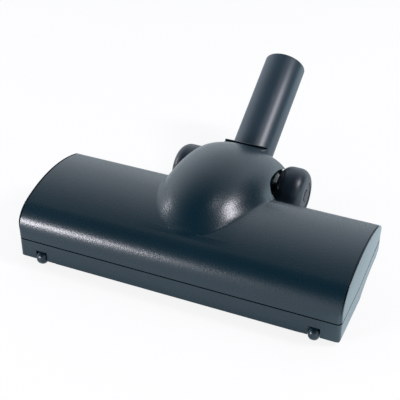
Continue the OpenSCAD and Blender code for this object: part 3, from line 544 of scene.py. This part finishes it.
copies = {
    "base_housing": shellAbs, "neck_elbow": shellAbs, "sole_plate": innerAbs,
    "lock_left": innerAbs, "lock_right": innerAbs, "cover_screws": turnedSteel,
    "roller_pin_left": turnedSteel, "roller_pin_right": turnedSteel,
    "brush_core_left": innerAbs, "brush_core_right": innerAbs, "brush_shaft": turnedSteel,
    "brush_pulley": innerAbs, "brush_bearing_left": beltRubber, "brush_bearing_right": beltRubber,
    "drive_belt": beltRubber, "drive_pulley": turnedBrass, "turbine_wheel": turbinePlastic,
    "turbine_shaft": turnedSteel, "turbine_bearing_left": turnedSteel, "turbine_bearing_right": turnedSteel,
    "turbine_case_lower": innerAbs, "turbine_case_upper": innerAbs, "drum_seal": woolFelt,
    "neck_ring": turnedSteel, "neck_seal": beltRubber,
    "wheel_pin_left": blackenedSteel, "wheel_pin_right": blackenedSteel,
    "wheel_hub_left": tyreRubber, "wheel_hub_right": tyreRubber, "lint_strips": woolFelt,
}
for node, material in copies.items():
    smoothCopy(node, material)
print("CAD nodes dressed")

# turned pieces: a profile spun about its axis


def spinProfile(profile, steps):
    bm = bmesh.new()
    verts = [bm.verts.new((r, 0.0, s)) for r, s in profile]
    edges = [bm.edges.new((verts[i], verts[(i + 1) % len(verts)])) for i in range(len(verts))]
    bmesh.ops.spin(bm, geom=verts + edges, cent=(0, 0, 0), axis=(0, 0, 1), angle=math.tau, steps=steps,
                   use_merge=True, use_duplicate=False)
    bmesh.ops.remove_doubles(bm, verts=bm.verts, dist=0.0005)
    bmesh.ops.recalc_face_normals(bm, faces=bm.faces)
    return bm


def arcPoints(cr, cs, radius, start, stop, steps):
    return [(cr + radius * math.cos(math.radians(start + (stop - start) * k / steps)),
             cs + radius * math.sin(math.radians(start + (stop - start) * k / steps))) for k in range(steps + 1)]


tube = {"radius": 19.9, "length": 133.3, "start": 9.0, "rim": 1.5, "bore": 16.0, "boreDepth": 45.0, "ring": 13.0}


def buildTube():
    r, end, rim = tube["radius"], tube["length"], tube["rim"]
    profile = [(tube["bore"] - 1, tube["start"]), (r, tube["start"]), (r, tube["ring"]), (r - 1, tube["ring"]),
               (r - 1, tube["ring"] + 2), (r, tube["ring"] + 2), (r, end - rim - 40)]
    profile += arcPoints(r - rim, end - rim, rim, 0, 90, 6)
    profile += [(tube["bore"] + 1.2, end), (tube["bore"], end - 1), (tube["bore"], end - tube["boreDepth"]),
                (tube["bore"] - 1, end - tube["boreDepth"])]
    bm = spinProfile(profile, 96)
    turn = Matrix.Translation(pivot) @ Matrix.Rotation(math.radians(neckAngle - 90), 4, "X")
    bmesh.ops.transform(bm, matrix=turn, verts=bm.verts)
    addPiece("neckTubeSkin", bm, tubeAbs, "neck", replaced=("neck_tube",))


wheel = {"radius": 24.0, "width": 26.5, "inner": 37.5, "shoulder": 10.0, "hub": 12.5}
roller = {"radius": 6.2, "width": 9.3, "round": 4.2, "x": 123.5, "y": 2.1, "pin": 1.26}


def placeAcross(bm, x, y, z, side):
    turn = Matrix.Translation((x * side, y, z)) @ Matrix.Rotation(math.radians(90 * side), 4, "Y")
    bmesh.ops.transform(bm, matrix=turn, verts=bm.verts)


def buildWheel(side, body, node):
    r, w, s = wheel["radius"], wheel["width"], wheel["shoulder"]
    profile = [(wheel["hub"], 0.0)]
    profile += arcPoints(r - s, s, s, -90, 0, 12) + arcPoints(r - s, w - s, s, 0, 90, 12)
    profile += [(wheel["hub"], w)]
    bm = spinProfile(profile, 96)
    placeAcross(bm, wheel["inner"], pivot.y, pivot.z, side)
    addPiece(node.replace("_", "") + "Skin", bm, tyreRubber, body, replaced=(node,))


def buildRoller(side, body, node):
    r, w, tread = roller["radius"], roller["width"], roller["round"]
    profile = [(roller["pin"], -w / 2)]
    profile += arcPoints(r - tread, -w / 2 + tread, tread, -90, 0, 12)
    profile += arcPoints(r - tread, w / 2 - tread, tread, 0, 90, 12)
    profile += [(roller["pin"], w / 2)]
    bm = spinProfile(profile, 64)
    placeAcross(bm, roller["x"], roller["y"], roller["radius"], side)
    addPiece(node.replace("_", "") + "Skin", bm, shellAbs, body, replaced=(node,))


buildTube()
for side, word in ((1, "right"), (-1, "left")):
    buildWheel(side, "rear_wheel_" + word, "wheel_tyre_" + word)
    buildRoller(side, "roller_" + word, "front_roller_" + word)
print("turned pieces built")

# bristles: rows of tufts that wind along the core, each a bundle of bent nylon filaments

brush = {
    "y": 30.0, "z": 25.0, "core": 11.0, "tip": 24.3, "runs": ((-112.5, 24.7), (40.3, 112.5)),
    "turn": 1.1, "pitch": 2.7, "filaments": 16, "spread": 1.05, "thick": 0.17,
}


def scatter(seed):
    value = math.sin(seed * 12.9898) * 43758.5453
    return value - math.floor(value)


def addFilament(bm, root, tip, bend, thick):
    along = (tip - root).normalized()
    side = along.orthogonal().normalized()
    other = along.cross(side)
    rings = []
    for share in (0.0, 0.5, 1.0):
        centre = root.lerp(tip, share) + bend * (share * share)
        size = thick * (1 - 0.35 * share)
        rings.append([bm.verts.new(centre + (side * math.cos(t) + other * math.sin(t)) * size)
                      for t in (0.0, 2.094, 4.189)])
    for low, high in zip(rings, rings[1:]):
        for i in range(3):
            bm.faces.new((low[i], low[(i + 1) % 3], high[(i + 1) % 3], high[i]))
    bm.faces.new(rings[-1])
    bm.faces.new(rings[0][::-1])


def buildTufts():
    bm = bmesh.new()
    seed = 1.0
    for start, stop in brush["runs"]:
        count = int((stop - start - 3) / brush["pitch"])
        for row in (0, 180):
            for k in range(count + 1):
                x = start + 1.5 + (stop - start - 3) * k / count
                turn = math.radians(row + brush["turn"] * (x - start))
                out = Vector((0.0, math.sin(turn), -math.cos(turn)))
                across = Vector((0.0, math.cos(turn), math.sin(turn)))
                for f in range(brush["filaments"]):
                    seed += 1.0
                    angle = math.tau * scatter(seed)
                    reach = math.sqrt(scatter(seed + 0.37))
                    low = Vector((x + 0.8 * reach * math.cos(angle), brush["y"], brush["z"]))
                    low += out * (brush["core"] - 0.6) + across * (0.8 * reach * math.sin(angle))
                    splay = brush["spread"] * reach
                    tipReach = brush["tip"] - 0.5 - 0.9 * scatter(seed + 0.71)
                    high = Vector((x + splay * math.cos(angle), brush["y"], brush["z"]))
                    high += out * tipReach + across * (splay * math.sin(angle))
                    addFilament(bm, low, high, across * (0.5 * scatter(seed + 0.11) - 0.2), brush["thick"])
    addPiece("bristleTufts", bm, bristleNylon, "brush", replaced=("bristle_strips",), sharpAngle=60.0)


buildTufts()
print("bristles built")

# floor, background, light and camera

camera = {"azimuth": 23.43, "elevation": 34.25, "distance": 0.9043, "target": (-0.0192, -0.03415, 0.030), "lens": 90.45}


def buildFloor():
    bm = bmesh.new()
    bmesh.ops.create_grid(bm, x_segments=2, y_segments=2, size=6.0)
    mesh = bpy.data.meshes.new("floor")
    bm.to_mesh(mesh)
    bm.free()
    floor = bpy.data.objects.new("floor", mesh)
    bpy.context.scene.collection.objects.link(floor)
    material, shader = newMaterial("whitePaper", {"Base Color": (0.86, 0.86, 0.86, 1.0), "Roughness": 0.9,
                                                  "Specular IOR Level": 0.1})
    rays = addNode(material, "ShaderNodeLightPath")
    # reflected in the object, the paper is a little bluer than the camera sees it
    tone = addNode(material, "ShaderNodeMix", {"Factor": rays.outputs["Is Camera Ray"]}, data_type="RGBA")
    tone.inputs[6].default_value = (0.76, 0.92, 1.0, 1.0)
    tone.inputs[7].default_value = (1.0, 1.0, 1.0, 1.0)
    boost = addNode(material, "ShaderNodeMapRange", {
        "Value": rays.outputs["Is Camera Ray"], "To Min": 1.6, "To Max": 1.066})
    glow = addNode(material, "ShaderNodeEmission", {"Color": tone.outputs[2], "Strength": boost.outputs["Result"]})
    # a white bounce card lies on the floor at the right, out of the camera's sight
    place = addNode(material, "ShaderNodeTexCoord")
    split = addNode(material, "ShaderNodeSeparateXYZ", {"Vector": place.outputs["Object"]})
    card = addNode(material, "ShaderNodeMapRange", {
        "Value": split.outputs["X"], "From Min": 0.12, "From Max": 0.16, "To Min": 0.25, "To Max": 1.0})
    share = addNode(material, "ShaderNodeMapRange", {
        "Value": rays.outputs["Is Camera Ray"], "To Min": card.outputs["Result"], "To Max": 0.8})
    mix = addNode(material, "ShaderNodeMixShader", {
        0: share.outputs["Result"], 1: shader.outputs["BSDF"], 2: glow.outputs["Emission"]})
    # seen from below the paper is clear, so that the underside can be looked at
    sides = addNode(material, "ShaderNodeNewGeometry")
    clear = addNode(material, "ShaderNodeBsdfTransparent")
    both = addNode(material, "ShaderNodeMixShader", {
        0: sides.outputs["Backfacing"], 1: mix.outputs["Shader"], 2: clear.outputs["BSDF"]})
    material.node_tree.links.new(both.outputs["Shader"], material.node_tree.nodes["Material Output"].inputs["Surface"])
    mesh.materials.append(material)


def buildWorld():
    world = bpy.data.worlds.new("studio")
    bpy.context.scene.world = world
    world.use_nodes = True
    tree = world.node_tree
    tree.nodes.clear()
    place = addNode(world, "ShaderNodeTexCoord")
    split = addNode(world, "ShaderNodeSeparateXYZ", {"Vector": place.outputs["Generated"]})
    tilt = addNode(world, "ShaderNodeMath", {0: split.outputs["Y"], 1: -0.4, 2: split.outputs["Z"]},
                   operation="MULTIPLY_ADD")
    fade = addNode(world, "ShaderNodeMapRange", {
        "Value": tilt.outputs["Value"], "From Min": 0.15, "From Max": 1.05, "To Min": 1.2, "To Max": 0.03},
        interpolation_type="SMOOTHSTEP")
    # black flag at the right rear, which keeps the dome's flank and the tube's right side dark
    toward = addNode(world, "ShaderNodeVectorMath", {0: place.outputs["Generated"], 1: (0.8, 0.5, 0.33)},
                     operation="DOT_PRODUCT")
    flag = addNode(world, "ShaderNodeMapRange", {
        "Value": toward.outputs["Value"], "From Min": 0.85, "From Max": 0.95, "To Min": 1.0, "To Max": 0.03},
        interpolation_type="SMOOTHSTEP")
    strength = addNode(world, "ShaderNodeMath", {0: fade.outputs["Result"], 1: flag.outputs["Result"]},
                       operation="MULTIPLY")
    light = addNode(world, "ShaderNodeBackground", {
        "Color": (0.84, 0.91, 1.0, 1.0), "Strength": strength.outputs["Value"]})
    plain = addNode(world, "ShaderNodeBackground", {"Color": (1.0, 1.0, 1.0, 1.0), "Strength": 0.98})
    rays = addNode(world, "ShaderNodeLightPath")
    mix = addNode(world, "ShaderNodeMixShader", {
        0: rays.outputs["Is Camera Ray"], 1: light.outputs["Background"], 2: plain.outputs["Background"]})
    addNode(world, "ShaderNodeOutputWorld", {"Surface": mix.outputs["Shader"]})


def addSoftbox(name, place, target, size, power):
    data = bpy.data.lights.new(name, "AREA")
    data.shape = "RECTANGLE"
    data.size, data.size_y = size
    data.energy = power
    data.color = (0.96, 0.93, 1.0)
    lamp = bpy.data.objects.new(name, data)
    lamp.location = place
    lamp.rotation_euler = (Vector(place) - Vector(target)).to_track_quat("Z", "Y").to_euler()
    bpy.context.scene.collection.objects.link(lamp)


def buildCamera():
    az, el = math.radians(camera["azimuth"]), math.radians(camera["elevation"])
    away = Vector((math.sin(az) * math.cos(el), -math.cos(az) * math.cos(el), math.sin(el)))
    data = bpy.data.cameras.new("camera")
    data.lens = camera["lens"]
    data.sensor_width = 36.0
    eye = bpy.data.objects.new("camera", data)
    eye.location = Vector(camera["target"]) + away * camera["distance"]
    eye.rotation_euler = away.to_track_quat("Z", "Y").to_euler()
    bpy.context.scene.collection.objects.link(eye)
    bpy.context.scene.camera = eye


buildCamera()
buildFloor()
buildWorld()
addSoftbox("keySoftbox", (-0.72, -1.12, 0.29), (-0.10, -0.08, 0.03), (0.34, 0.22), 8.5)
addSoftbox("leftSoftbox", (-1.12, 0.0, 0.36), (0.0, 0.0, 0.05), (0.22, 0.18), 2.3)
addSoftbox("rightSoftbox", (0.83, 0.13, 0.85), (0.0, 0.0, 0.05), (0.15, 0.28), 6.0)
addSoftbox("tubeSoftbox", (0.44, 0.03, 1.12), (0.0, 0.05, 0.08), (0.12, 0.25), 0.6)
bpy.context.scene.view_settings.view_transform = "Standard"
print("camera and light ready")
